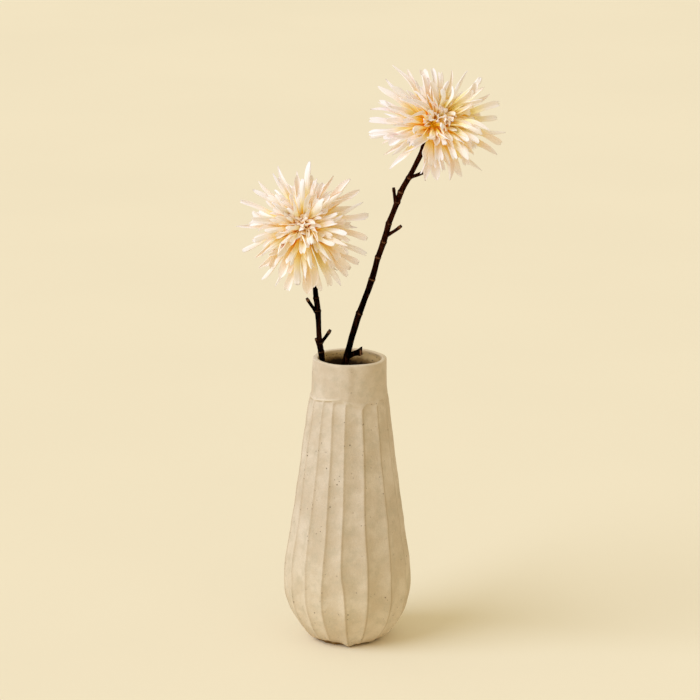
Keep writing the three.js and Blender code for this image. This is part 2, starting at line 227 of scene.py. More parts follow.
HIGH_HEAD = {
    "centre": (73.8, -52.0, 498.9),
    "facing": (0.6, -0.55, 0.58),
    "neck": (0.36, -0.45, 0.82),
    "squash": 0.14,
    "outline": [
        (7, 58, 5, N), (18, 62, 6, N), (29, 57, 4, R), (37, 56, 5, N), (46, 60, 5, N), (58, 57, 4, P),
        (72, 51, 4, P), (83, 48, 5, N), (92, 50, 4, N), (102, 50, 5, N), (116, 54, 4, R), (125, 64, 5, P),
        (137, 59, 4, P), (146, 60, 6, R), (158, 53, 5, N), (167, 58, 4, P), (177, 58, 6, N),
        (190, 59, 7, N), (201, 49, 4, P), (212, 52, 4, P), (226, 56, 6, P), (262, 51, 8, P),
        (274, 50, 8, R), (287, 52, 9, P), (299, 53, 7, R), (317, 60, 6, P), (335, 63, 6, P),
        (345, 63, 5, B), (354, 65, 5, P),
    ],
    "seen": [
        (344, 21, 34, 4, R), (355, 34, 46, 5, R), (347, 43, 52, 6, N), (337, 43, 53, 6, B),
        (353, 50, 58, 5, P), (334, 34, 46, 5, B), (314, 44, 52, 8, R), (301, 37, 47, 5, N),
        (315, 22, 36, 4, B), (298, 21, 36, 4, N), (278, 34, 44, 6, N), (266, 37, 44, 5, N),
        (276, 19, 34, 5, R), (222, 30, 42, 6, N), (136, 36, 46, 4, P), (139, 50, 54, 6, R),
        (159, 44, 50, 5, P), (177, 43, 50, 5, R), (182, 36, 46, 5, P), (104, 45, 50, 4, B),
        (96, 38, 46, 5, N), (79, 31, 42, 5, B), (65, 37, 46, 5, N), (58, 43, 50, 5, B), (46, 52, 58, 6, N),
        (41, 45, 54, 5, B), (27, 48, 55, 5, B), (30, 38, 48, 4, P), (205, 44, 50, 5, B),
        (217, 46, 50, 5, P), (240, 12, 22, 4, R), (226, 15, 25, 5, N), (256, 14, 24, 4, B),
        (210, 18, 29, 5, R), (272, 11, 25, 4, B), (292, 13, 27, 4, N), (165, 9, 24, 4, B),
        (190, 8, 24, 3, R), (140, 10, 25, 4, B), (330, 12, 28, 4, B), (5, 16, 30, 4, N),
        (110, 14, 28, 4, N),
    ],
    "clearing": (230, 252),
    "thin": (0, 0),
    "gold": 0.8,
    "gold_shade_lean": (0.35, 0.0),
    "gold_edge": 1.3,
    "fine": 0.8,
}
VIEW_RIGHT = np.array([1.0, 0.0, 0.0])
VIEW_UP = np.array([0.0, 0.2, 0.98]) / math.hypot(0.2, 0.98)
VIEW_NEAR = np.cross(VIEW_RIGHT, VIEW_UP)

# Receptacle and its neck. The florets grow from bands of skin on the ball, a small gap above it.
BALL_R = 9.0
NECK_R = 1.3
NECK_FOOT_R = 1.7
NECK_END = 18.0
NECK_SIDES = 20
NECK_ROWS = 26
GAP = 0.3
SKIN_R = 11.3
SKIN_STEPS = 36
ROOT_R = 10.2
# Green bracts behind the florets: how many, degrees from the neck at root and tip, reach, width, and the
# turn of the whorl in shares of the space between two
BRACTS = [
    {"count": 8, "root": 34, "tip": 54, "reach": 18.5, "width": 6.4, "turn": 0.0},
    {"count": 6, "root": 22, "tip": 46, "reach": 12.5, "width": 4.6, "turn": 0.4},
]
BRACT_STYLE = {
    "tip": P, "root": 0.7, "wide_at": 0.3, "hump": -1, "roll": 1.2, "open_by": 0.3, "cup": 0.9,
    "tip_cup": 0.6, "heel": 0.0, "crease": 0.25, "ribs": 0.12, "thick": 0.5, "ruffle": 0.3,
    "notch": 0.0, "teeth": 2,
}
# Rings of florets: degrees from the head's axis to the first, and from each to the next
FIRST_RING = 6.0
RING_STEP = 11.0
# The first rings are the tufts of the heart, and the middle ones are thinned in a thin place
TUFT_RINGS = 4
THIN_RINGS = (4, 7)
# How many florets a ring has, how long they are and how wide they look
RINGS = [
    (9, 25.5, 2.8), (17, 28, 3.3), (22, 31, 3.8), (24, 34, 4.3), (24, 38, 4.7), (21, 42, 5.0),
    (18, 45, 5.0), (17, 45, 4.9), (17, 45, 4.9), (17, 45, 4.9), (15, 45, 4.9),
]
# How much a spread floret varies: in its place round the ring, as a share of the step to the next, its
# degrees from the axis, its reach, among the tufts or beyond them, and its width
TURN_UNEVEN = 0.25
LEAN_UNEVEN = 4.0
TUFT_UNEVEN = 0.2
REACH_UNEVEN = 0.16
WIDTH_UNEVEN = 0.36
# How far a floret may lean and arch, placed or spread, and how far a spread tip may stray, as a share of
# its reach
PLACED_SWING = 0.12
SPREAD_SWING = 0.36
SWAY = 0.08
# How far the tips of the tufts bend away from the axis, in the first ring and in the others
HEART_CURL = (-0.4, 0.8)
TUFT_CURL = (0.1, 2.3)
# How far the arc of a floret follows its first and its last direction, and how much it strays
ROOT_RUN = 0.38
TIP_RUN = 0.34
STRAY = 0.02
TUFT_THICK = 0.46
FLORET_THICK = 0.54
# The distance from the heart at which a floret counts as all tip
HEART_REACH = 58.0
# Only florets longer than this may have a withered tip. A tip is withered, or a floret greenish, when its
# draw from 0 to 1 is over the number here.
WITHER_REACH = 55.0
WITHER_OVER = 0.8
GREEN_OVER = 0.94
# A spread floret gives way to a placed one when their directions are closer than this
CLEAR_DEGREES = 6.0
# A floret seen to end nearer the heart than this may stand in the clearing
CLEARING_OUT = 11.0
# Places along a floret and across it, closer together near its tip and its edges
STATIONS = [
    0.0, 0.07, 0.14, 0.22, 0.30, 0.38, 0.46, 0.54, 0.62, 0.69, 0.76, 0.82, 0.87, 0.915, 0.95, 0.98, 1.0,
]
ACROSS = [-1.0, -0.93, -0.72, -0.46, -0.2, 0.0, 0.2, 0.46, 0.72, 0.93, 1.0]
# What a floret tells its material
FLORET_VALUES = ("bloom", "across", "hollow", "tone", "green", "wither")
# Tip shapes: where the narrowing starts, how square it is, and the width left at the very end
TIPS = {
    P: (0.58, 1.3, 0.12),
    R: (0.74, 2.0, 0.25),
    B: (0.86, 2.2, 0.50),
    N: (0.84, 1.8, 0.66),
}
# The tips that tufts and other spread florets choose from
TUFT_TIPS = (N, B, P, N)
SPREAD_TIPS = (R, P, N, B, N, P)

# Colours
CLAY_DARK = (0.578, 0.478, 0.362)
CLAY_LIGHT = (0.668, 0.575, 0.470)
CLAY_PATCH = (0.50, 0.435, 0.33)
# Painted bounce light from the floor, low on the vase
CLAY_PAINTED_BOUNCE = (1.05, 1.045, 0.98)
# Painted shade beside the ridges, on the side away from the light, and the darker seam of the collar
CLAY_RIDGE_SHADE_AND_SEAM = (0.38, 0.27, 0.14)
# Painted highlight on the top of the lip and on the roll of clay over the flutes
CLAY_PAINTED_HIGHLIGHT = (0.80, 0.71, 0.57)
PINHOLE = (0.17, 0.115, 0.07)
# Painted shade inside the vase, from the lip down into the dark: where each begins and is full, and its
# colour
PAINTED_INSIDE_SHADE = [
    (0.0, 0.12, (0.62, 0.44, 0.21)), (0.2, 0.5, (0.24, 0.14, 0.045)),
    (0.42, 0.8, (0.025, 0.011, 0.003)),
]
BARK_BLACK = (0.0006, 0.0003, 0.0002)
BARK_BLOTCH = (0.034, 0.009, 0.004)
BARK_BROWN = (0.036, 0.0078, 0.0034)
# Painted glints: brighter red-brown streaks along the fibres
BARK_PAINTED_GLINT = (0.13, 0.036, 0.015)
SCAR = (0.29, 0.135, 0.065)
CUT_END = (0.035, 0.016, 0.011)
# From the golden root of a floret to its near white tip: how far out, and the colour there
PETAL_RAMP = [
    (0.12, (1.0, 0.70, 0.03)), (0.26, (1.0, 0.82, 0.16)), (0.42, (1.0, 0.915, 0.54)),
    (0.62, (1.0, 0.94, 0.89)), (0.92, (0.985, 0.95, 1.0)),
]
PETAL_PEACH = (1.0, 0.875, 0.70)
# Painted shade in the hollows of the florets
PETAL_HOLLOW_SHADE = (1.0, 0.87, 0.68)
PETAL_GREEN = (0.70, 0.62, 0.20)
PETAL_WITHERED = (0.42, 0.28, 0.15)
BRACT_DARK = (0.24, 0.21, 0.035)
BRACT_LIGHT = (0.42, 0.35, 0.09)
BRACT_BROWN = (0.030, 0.016, 0.008)


# Small tools
def unit(v):
    v = np.asarray(v, float)
    return v / np.linalg.norm(v)


def smooth(edge0, edge1, x):
    t = np.clip((x - edge0) / (edge1 - edge0), 0.0, 1.0)
    return t * t * (3 - 2 * t)


def scatter(a, b, c):
    """A steady value from -1 to 1 for three whole numbers."""
    mask = 0xFFFFFFFF
    h = ((a + 17) * 73856093) ^ ((b + 31) * 19349663) ^ ((c + 7) * 83492791)
    h &= mask
    h = ((h ^ (h >> 13)) * 1274126177) & mask
    h ^= h >> 16
    return h / 4294967295 * 2 - 1


def between(low, high, *seed):
    """A steady value from low to high for three whole numbers."""
    return low + (high - low) * (scatter(*seed) + 1) / 2


def bell(x, half):
    """One at x = 0, falling away smoothly to either side."""
    return np.exp(-((x / half) ** 2))


def ripple(points, size, seed):
    """A smooth uneven value from about -1 to 1 over points, with bumps of the given size."""
    total = np.zeros(len(points))
    waves = 7
    for k in range(waves):
        way = unit([scatter(seed, k, 1), scatter(seed, k, 2), scatter(seed, k, 3)])
        pitch = size * (1 + 0.45 * scatter(seed, k, 4))
        total += np.sin(points @ way * TAU / pitch + 3 * scatter(seed, k, 5))
    return total / math.sqrt(waves)


def spline(points, values):
    """A smooth curve through listed points, sampled at values from 0 to the last point's number."""
    p = np.asarray(points, float)
    p = np.vstack([2 * p[0] - p[1], p, 2 * p[-1] - p[-2]])
    k = np.clip(np.floor(values).astype(int), 0, len(points) - 2)
    f = (values - k)[:, None]
    a, b, c, d = p[k], p[k + 1], p[k + 2], p[k + 3]
    square = 2 * a - 5 * b + 4 * c - d
    cube = 3 * b - a - 3 * c + d
    return 0.5 * (2 * b + (c - a) * f + square * f**2 + cube * f**3)


def curve_at(curve, x):
    """The second number at x on a smooth curve through listed pairs of numbers."""
    dense = spline(curve, np.linspace(0, len(curve) - 1, 400))
    return np.interp(x, dense[:, 0], dense[:, 1])


def full_turn(sides):
    """The angles of points spread evenly round a circle."""
    return np.arange(sides) * TAU / sides


def add_object(name, data):
    made = bpy.data.objects.new(name, data)
    bpy.context.scene.collection.objects.link(made)
    return made


def make_piece(name, points, faces, material, attributes=None):
    """A smooth mesh from points in millimetres, with one number a point for each attribute."""
    mesh = bpy.data.meshes.new(name)
    mesh.from_pydata((np.asarray(points) * MM).tolist(), [], faces)
    for key, values in (attributes or {}).items():
        layer = mesh.attributes.new(key, "FLOAT", "POINT")
        layer.data.foreach_set("value", np.asarray(values, np.float32))
    mesh.polygons.foreach_set("use_smooth", [True] * len(mesh.polygons))
    mesh.materials.append(material)
    mesh.update()
    return add_object(name, mesh)


def stand_for(piece, node):
    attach(piece, "root")
    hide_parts(node)


def ring_faces(rings, sides):
    """Quads between rings of equal length, joined side to side."""
    ring, side = np.meshgrid(np.arange(rings - 1), np.arange(sides), indexing="ij")
    a = ring * sides + side
    b = ring * sides + (side + 1) % sides
    return np.stack([a, b, b + sides, a + sides], -1).reshape(-1, 4)


def join(parts):
    """Several lists of points and faces as one."""
    points, faces, first = [], [], 0
    for more, more_faces in parts:
        points.append(more)
        faces += [[first + i for i in face] for face in more_faces]
        first += len(more)
    return np.concatenate(points), faces


# Materials
def new_material(name, specular):
    material = bpy.data.materials.new(name)
    material.use_nodes = True
    tree = material.node_tree
    shader = tree.nodes["Principled BSDF"]
    shader.inputs["Specular IOR Level"].default_value = specular
    return material, tree, shader


def feed(tree, socket, value):
    """Sets a socket to a number, a vector or a colour, or links it to another node's output."""
    if isinstance(value, bpy.types.NodeSocket):
        tree.links.new(value, socket)
    elif socket.type == "RGBA":
        socket.default_value = (*value, 1.0)
    else:
        socket.default_value = value


def node(tree, kind, **settings):
    """A new node. Each setting is one of its inputs, or else one of its own options."""
    made = tree.nodes.new(kind)
    for key, value in settings.items():
        if key in made.inputs:
            feed(tree, made.inputs[key], value)
        else:
            setattr(made, key, value)
    return made


def object_place(tree):
    return node(tree, "ShaderNodeTexCoord").outputs["Object"]


def height_of(tree, place):
    return node(tree, "ShaderNodeSeparateXYZ", Vector=place).outputs[2]


def attribute(tree, name):
    return node(tree, "ShaderNodeAttribute", attribute_name=name).outputs["Fac"]


def noise(tree, where, scale, detail=3.0, rough=0.55):
    made = node(tree, "ShaderNodeTexNoise", Vector=where, Scale=scale, Detail=detail, Roughness=rough)
    return made.outputs["Fac"]


def span(tree, value, low, high, to_low=0.0, to_high=1.0):
    """A soft step: to_low where the value is low, to_high where it is high."""
    ends = {"From Min": low, "From Max": high, "To Min": to_low, "To Max": to_high}
    made = node(tree, "ShaderNodeMapRange", interpolation_type="SMOOTHSTEP", Value=value, **ends)
    return made.outputs["Result"]


def math_node(tree, operation, a, b):
    made = node(tree, "ShaderNodeMath", operation=operation)
    feed(tree, made.inputs[0], a)
    feed(tree, made.inputs[1], b)
    return made.outputs[0]


def times(tree, a, b):
    return math_node(tree, "MULTIPLY", a, b)


def mix_colour(tree, share, a, b, blend="MIX"):
    made = node(tree, "ShaderNodeMix", data_type="RGBA", blend_type=blend)
    for index, value in ((0, share), (6, a), (7, b)):
        feed(tree, made.inputs[index], value)
    return made.outputs[2]


def bump(tree, height, distance, strength, under=None):
    made = node(tree, "ShaderNodeBump", Height=height, Distance=distance, Strength=strength)
    if under is not None:
        feed(tree, made.inputs["Normal"], under)
    return made.outputs["Normal"]


def surface(tree, shader, colour, rough, normal):
    feed(tree, shader.inputs["Base Color"], colour)
    feed(tree, shader.inputs["Roughness"], rough)
    feed(tree, shader.inputs["Normal"], normal)


def pinholes(tree, place, scale, size, keep):
    """Small round dark holes, in this share of the cells of a cell pattern."""
    cells = node(tree, "ShaderNodeTexVoronoi", Vector=place, Scale=scale, feature="F1")
    hole = span(tree, cells.outputs["Distance"], size * 0.45, size, 1.0, 0.0)
    pick = node(tree, "ShaderNodeSeparateColor", Color=cells.outputs["Color"])
    return times(tree, hole, math_node(tree, "LESS_THAN", pick.outputs[0], keep))


def stoneware_material():
    """Matte unglazed clay: cloudy buff, sandy grain, dark pinholes, painted shade lines beside the ridges.
    """
    material, tree, shader = new_material("stoneware", 0.28)
    place = object_place(tree)
    ridge_shade_and_seam = attribute(tree, "ridge_shade_and_seam")
    inside = attribute(tree, "inside")
    cloud = span(tree, noise(tree, place, 34.0, 5.0, 0.6), 0.36, 0.66)
    patch = span(tree, noise(tree, place, 95.0, 4.0, 0.65), 0.42, 0.72)
    grain = noise(tree, place, 1500.0, 2.0, 0.6)
    colour = mix_colour(tree, cloud, CLAY_DARK, CLAY_LIGHT)
    colour = mix_colour(tree, times(tree, patch, 0.6), colour, CLAY_PATCH)
    # Painted bounce light from the floor: lighter and yellower towards the bottom
    low = span(tree, height_of(tree, place), 150.0 * MM, 25.0 * MM)
    colour = mix_colour(tree, low, colour, CLAY_PAINTED_BOUNCE, "MULTIPLY")
    # Painted shade beside the ridges, on the side away from the light, and the darker seam of the collar
    colour = mix_colour(tree, times(tree, ridge_shade_and_seam, 0.5), colour, CLAY_RIDGE_SHADE_AND_SEAM)
    # Painted highlight on the top of the lip and on the roll of clay over the flutes
    painted_highlight = span(tree, attribute(tree, "painted_highlight"), 0.15, 0.8, 0.0, 0.6)
    colour = mix_colour(tree, painted_highlight, colour, CLAY_PAINTED_HIGHLIGHT)
    # Painted shade inside the mouth and under the foot, uneven in streaks
    streak = span(tree, noise(tree, place, 130.0, 4.0, 0.7), 0.3, 0.7, 0.75, 1.05)
    depth = times(tree, inside, streak)
    for begin, full, shade in PAINTED_INSIDE_SHADE:
        colour = mix_colour(tree, span(tree, depth, begin, full), colour, shade)
    sand = span(tree, grain, 0.3, 0.75, 0.99, 1.12)
    colour = mix_colour(tree, 1.0, colour, sand, "MULTIPLY")
    near_ridge = times(tree, pinholes(tree, place, 290.0, 0.15, 0.9), span(tree, ridge_shade_and_seam, 0.15, 0.5))
    pits = times(tree, pinholes(tree, place, 330.0, 0.3, 0.5), span(tree, inside, 0.05, 0.1))
    holes = pinholes(tree, place, 240.0, 0.125, 0.22)
    for more in (near_ridge, pinholes(tree, place, 95.0, 0.075, 0.5), pits):
        holes = math_node(tree, "MAXIMUM", holes, more)
    holes = times(tree, holes, span(tree, inside, 0.4, 0.7, 1.0, 0.0))
    colour = mix_colour(tree, times(tree, holes, 0.82), colour, PINHOLE)
    rough = span(tree, grain, 0.2, 0.8, 0.80, 0.95)
    wall = bump(tree, noise(tree, place, 210.0, 5.0, 0.65), 0.0009, 0.6)
    sandy = bump(tree, grain, 0.00022, 0.55, wall)
    pitted = bump(tree, math_node(tree, "SUBTRACT", 1.0, holes), 0.0007, 0.8, sandy)
    surface(tree, shader, colour, rough, pitted)
    return material


def wood_material():
    """Near-black twig bark, red-brown higher up, with painted glints, pale ring scars and lighter cut
    ends.
    """
    material, tree, shader = new_material("wood", 0.0)
    place = object_place(tree)
    shift = (0.37, 0.11, 0.05)
    stretch = node(tree, "ShaderNodeMapping", Vector=place, Scale=(1.0, 1.0, 0.16), Location=shift)
    along = stretch.outputs["Vector"]
    fibre = noise(tree, along, 1100.0, 4.0, 0.6)
    blotch = span(tree, noise(tree, along, 190.0, 3.0, 0.6), 0.52, 0.74)
    colour = mix_colour(tree, blotch, BARK_BLACK, BARK_BLOTCH)
    upper = span(tree, height_of(tree, place), 325.0 * MM, 410.0 * MM)
    brown = times(tree, upper, span(tree, fibre, 0.42, 0.58, 0.08, 1.0))
    colour = mix_colour(tree, brown, colour, BARK_BROWN)
    # Painted glints in the brighter streaks of the fibres
    painted_glint = span(tree, fibre, 0.56, 0.78)
    colour = mix_colour(tree, times(tree, painted_glint, 0.5), colour, BARK_PAINTED_GLINT)
    scar = times(tree, attribute(tree, "scar"), span(tree, noise(tree, place, 300.0), 0.4, 0.6))
    colour = mix_colour(tree, times(tree, scar, 0.8), colour, SCAR)
    colour = mix_colour(tree, attribute(tree, "cut"), colour, CUT_END)
    rough = span(tree, fibre, 0.3, 0.7, 0.36, 0.62)
    surface(tree, shader, colour, rough, bump(tree, fibre, 0.0005, 0.75))
    return material


def petal_material():
    """Thin cream florets: golden root, near white tip, faint veins, and painted shade in their hollows."""
    material, tree, shader = new_material("petal", 0.0)
    place = object_place(tree)
    bloom = attribute(tree, "bloom")
    ramp = node(tree, "ShaderNodeValToRGB", Fac=bloom)
    stops = ramp.color_ramp.elements
    for position, _ in PETAL_RAMP[1:-1]:
        stops.new(position)
    for stop, (position, colour) in zip(stops, PETAL_RAMP):
        stop.position = position
        stop.color = (*colour, 1.0)
    peach = span(tree, attribute(tree, "tone"), 0.4, 1.0, 0.0, 0.3)
    colour = mix_colour(tree, peach, ramp.outputs["Color"], PETAL_PEACH)
    # Painted shade in the hollow side of each floret
    hollow = times(tree, attribute(tree, "hollow"), 0.2)
    colour = mix_colour(tree, hollow, colour, PETAL_HOLLOW_SHADE, "MULTIPLY")
    green = times(tree, attribute(tree, "green"), span(tree, bloom, 0.25, 0.7, 0.45, 0.0))
    colour = mix_colour(tree, green, colour, PETAL_GREEN)
    withered = times(tree, attribute(tree, "wither"), 0.6)
    colour = mix_colour(tree, withered, colour, PETAL_WITHERED)
    fleck = span(tree, noise(tree, place, 420.0, 3.0, 0.6), 0.35, 0.75, 0.994, 1.0)
    colour = mix_colour(tree, 1.0, colour, fleck, "MULTIPLY")
    veins = math_node(tree, "COSINE", times(tree, attribute(tree, "across"), 3.6), 0.0)
    soft = bump(tree, veins, 0.00012, 0.5)
    crinkle = bump(tree, noise(tree, place, 700.0, 3.0, 0.6), 0.00010, 0.3, soft)
    surface(tree, shader, colour, 0.7, crinkle)
    return material


def green_material():
    """The fleshy green of the receptacle and its bracts, browner where it meets the wood."""
    material, tree, shader = new_material("receptacle", 0.5)
    fleck = span(tree, noise(tree, object_place(tree), 600.0, 4.0, 0.6), 0.35, 0.7)
    colour = mix_colour(tree, fleck, BRACT_DARK, BRACT_LIGHT)
    colour = mix_colour(tree, attribute(tree, "brown"), colour, BRACT_BROWN)
    surface(tree, shader, colour, 0.55, bump(tree, fleck, 0.0003, 0.5))
    return material


# Vase
def ridge_angles(z):
    """The ridges at one height, in degrees from the front. They wander a little, as a hand carves them."""
    hidden = FLUTES - len(SEEN_RIDGES)
    room = 360 - (SEEN_RIDGES[-1] - SEEN_RIDGES[0])
    angles = SEEN_RIDGES + [SEEN_RIDGES[-1] + room * i / (hidden + 1) for i in range(1, hidden + 1)]
    wander = [
        RIDGE_WANDER * (math.sin(z / 41 + 2.1 * i) + 0.4 * math.sin(z / 15 + 3.7 * i))
        for i in range(FLUTES)
    ]
    angles[FRONT_RIDGE] = curve_at(FRONT_LINE, z)
    wander[FRONT_RIDGE] *= 0.3
    return np.array(angles) + np.array(wander)


def columns(z):
    """Every column round the vase at one height: angle, flute, half width and place across the flute."""
    ridges = ridge_angles(z)
    edges = np.append(ridges, ridges[0] + 360)
    flute = np.repeat(np.arange(FLUTES), len(FLUTE_COLUMNS))
    share = np.tile(FLUTE_COLUMNS, FLUTES)
    width = (edges[1:] - edges[:-1])[flute]
    return edges[flute] + share * width, flute, width / 2, 2 * share - 1


def flute_depths():
    """How deep each flute is carved, as a share of the usual depth."""
    return np.array([between(0.8, 1.25, 3, i, 5) for i in range(FLUTES)])


def ridge_crispness(flute, across, z):
    """How crisp the nearest ridge is at each column."""
    nearest = (flute + (across > 0)) % FLUTES
    crisp = np.array(RIDGE_CRISP)[nearest]
    return np.where(nearest == FRONT_RIDGE, crisp * (1 - 0.7 * smooth(110, 165, z)), crisp)


def round_vase(curve, angles):
    """The value at each angle of a curve given from -180 to 180 degrees from the front."""
    return curve_at(curve, (angles + 180) % 360 - 180)


def body_row(z):
    """Radius round the fluted body at one height, and the painted shade near the foot of each ridge."""
    angles, flute, half, across = columns(z)
    ridge_r = curve_at(BODY_PROFILE, z)
    off = across * half
    chord = ridge_r * np.cos(np.radians(half)) / np.cos(np.radians(off))
    arch = ARCH_DROP * np.array(FLUTE_ARCH)[flute] * np.abs(across) ** 3
    top = round_vase(LEDGE_LINE, angles) - 0.4 - arch
    carved = smooth(0.0, np.array(FLUTE_FADE)[flute], top - z)
    depth = FLUTE_HOLLOW * flute_depths()[flute] * ridge_r / WIDEST_R * carved
    from_ridge = np.radians(half) * ridge_r * (1 - abs(across))
    hollow = depth * (1 - abs(across) ** FLUTE_SQUARENESS)
    crisp = ridge_crispness(flute, across, z) * carved
    crest = RIDGE_CREST * crisp * bell(from_ridge, RIDGE_ROUND)
    # Painted shade near the foot of each ridge, only on its side away from the light
    ridge_shade_and_seam = crisp * bell(from_ridge - 1.0, 0.9) * (across < 0)
    outward = ridge_r + (chord - ridge_r) * carved
    return outward - hollow - crest, ridge_shade_and_seam


def collar_seam(turn):
    """How near a point is to the seam down the front of the collar."""
    return bell(np.sin((turn - SEAM_TURN) / 2), SEAM_WIDTH)


def collar_row(turn, z):
    """Radius round the smooth, slightly uneven collar, with throwing rings and a soft seam in front."""
    share = (z - LEDGE_Z) / (RIM_Z - LEDGE_Z)
    radius = COLLAR_FOOT_R + (LIP_OUTER_R - COLLAR_FOOT_R) * share
    uneven = 0.25 * np.sin(2 * turn + 0.6) + 0.16 * np.sin(5 * turn + z / 9)
    uneven = uneven + 0.07 * np.sin(z / 2.1 + turn)
    return radius + uneven + SEAM_RISE * collar_seam(turn)


def low_bulge(turn, z):
    return BULGE * bell(z - BULGE_Z, BULGE_HALF) * smooth(0.3, 1.0, np.sin(turn))


def outside_row(z):
    """Radius, painted ridge shade and seam, and painted highlight round the outside at one height."""
    angles = columns(min(z, RIDGE_TOP))[0]
    turn = np.radians(angles)
    if z > RIDGE_TOP:
        return turn, collar_row(turn, z), SEAM_STAIN * collar_seam(turn), np.zeros(len(turn))
    radius, ridge_shade_and_seam = body_row(z)
    radius = radius + low_bulge(turn, z)
    above = z - round_vase(LEDGE_LINE, angles)
    over = smooth(-0.6, 1.0, above)
    # The roll of clay over the flutes; its height also sets its painted highlight
    roll = round_vase(LEDGE_ROLL, angles) * bell(above - 0.2, 0.7)
    # Under the collar the darker seam takes the place of the painted ridge shade
    ridge_shade_and_seam = ridge_shade_and_seam * (1 - over) + SEAM_STAIN * collar_seam(turn) * over
    return turn, radius * (1 - over) + collar_row(turn, z) * over + roll, ridge_shade_and_seam, roll


def neck_lean(z):
    return NECK_LEAN * smooth(LEDGE_Z - 20, RIM_Z, z)


def foot_place(turn, place):
    """How near each angle is to a place on the foot's edge, from 0 to 1."""
    middle, half = place
    return bell((turn - middle + math.pi) % TAU - math.pi, half)


def row_heights(rows):
    """The heights of rows of points, lowest first. A run of rows begins where another ends."""
    return np.unique(np.concatenate([np.linspace(*run) for run in rows]))


def vase_rings():
    """The rings of the vase: from the middle of its underside, up, over the lip and down inside."""
    rings = []

    def add(turn, radius, z, ridge_shade_and_seam=0.0, inside=0.0, painted_highlight=0.0):
        radius, z, ridge_shade_and_seam, inside, painted_highlight = np.broadcast_arrays(radius, z, ridge_shade_and_seam, inside, painted_highlight, turn)[:5]
        points = np.stack([radius * np.sin(turn) + neck_lean(z), -radius * np.cos(turn), z], 1)
        rings.append((points, {"ridge_shade_and_seam": ridge_shade_and_seam, "inside": inside, "painted_highlight": painted_highlight}))

    foot_turn, foot, _, _ = outside_row(0.0)
    corner = foot_place(foot_turn, FOOT_CORNER)
    left = foot_place(foot_turn, FOOT_LEFT)
    trim = CORNER_OUT * corner - LEFT_IN * left
    lift = FOOT_LIFT + FOOT_LIFT * left - CORNER_DROP * corner + FOOT_WAVE * np.sin(3 * foot_turn + 2.4)
    for share in (0.15, 0.5, 0.8):
        add(foot_turn, foot * share, 0.0, inside=UNDERSIDE_SHADE)
    add(foot_turn, foot - 2.3, 0.0, inside=GAP_SHADE)
    add(foot_turn, foot - 2.1, lift * 0.85, inside=GAP_SHADE)
    add(foot_turn, foot + trim - 1.2, lift * 0.9, inside=GAP_SHADE)
    add(foot_turn, foot + trim - 0.5, lift * 0.95, inside=EDGE_SHADE)
    for z in row_heights(OUTSIDE_ROWS):
        turn, radius, ridge_shade_and_seam, painted_highlight = outside_row(z)
        radius = radius + trim * smooth(14.0, 0.0, z)
        add(turn, radius, z + lift * smooth(9.0, 0.0, z), ridge_shade_and_seam, 0.0, painted_highlight)

    turn = np.radians(columns(LEDGE_Z)[0])
    wave = 0.30 * np.sin(2 * turn + 1.1) + 0.18 * np.sin(5 * turn)
    thick = (collar_row(turn, RIM_Z) - LIP_INNER_R) / 2
    for step in range(LIP_STEPS + 1):
        a = math.pi * step / LIP_STEPS
        out = LIP_INNER_R + thick + thick * np.sign(math.cos(a)) * abs(math.cos(a)) ** 0.7
        height = RIM_Z - LIP_RISE + (LIP_RISE + wave) * math.sin(a) ** 0.8
        # The inner half of the lip gets a little painted shade, and its top a painted highlight
        shade = 0.08 * smooth(math.pi / 2, math.pi, a)
        add(turn, out, height, 0.0, shade, 0.7 * math.sin(a))
    for z in row_heights(INSIDE_ROWS)[::-1]:
        ripples = 0.16 * np.sin(z / 1.7 + turn) + 0.30 * np.sin(3 * turn + z / 7)
        ripples = ripples + 0.18 * np.sin(7 * turn - z / 3)
        # Painted shade deepens down the mouth, less on its right side, where light from the left reaches
        # down
        shade = 0.1 + 0.9 * smooth(RIM_Z - 2, RIM_Z - 15, z) * (1 - 0.5 * np.sin(turn))
        add(turn, curve_at(BORE_PROFILE, z) + ripples, z, inside=shade)
    for share in (0.85, 0.5, 0.2):
        # The floor inside is in full painted shade
        add(turn, curve_at(BORE_PROFILE, BORE_FLOOR_Z + 0.5) * share, BORE_FLOOR_Z, inside=1.0)
    return rings


def make_vase(material):
    rings = vase_rings()
    points = np.concatenate([ring for ring, _ in rings])
    out = points * [1, 1, 0]
    length = np.linalg.norm(out, axis=1, keepdims=True)
    lumps = 0.32 * ripple(points, 46.0, 4) + 0.12 * ripple(points, 13.0, 9)
    on_wall = smooth(2.0, 14.0, points[:, 2]) * smooth(RIM_Z - 1, RIM_Z - 8, points[:, 2])
    points = points + out / length * (lumps * on_wall)[:, None]
    around = len(rings[0][0])
    faces = ring_faces(len(rings), around).tolist()
    first, last = len(points), len(points) + 1
    points = np.vstack([points, [0, 0, 0], [0, 0, BORE_FLOOR_Z]])
    top = (len(rings) - 1) * around
    for side in range(around):
        after = (side + 1) % around
        faces.append((first, after, side))
        faces.append((last, top + side, top + after))
    # The last two points are the middles of the underside and of the floor inside
    values = {
        key: np.concatenate([ring[key] for _, ring in rings] + [[key == "inside"] * 2])
        for key in ("ridge_shade_and_seam", "inside", "painted_highlight")
    }
    vase = make_piece("vase_body", points, faces, material, values)
    stand_for(vase, "vase")


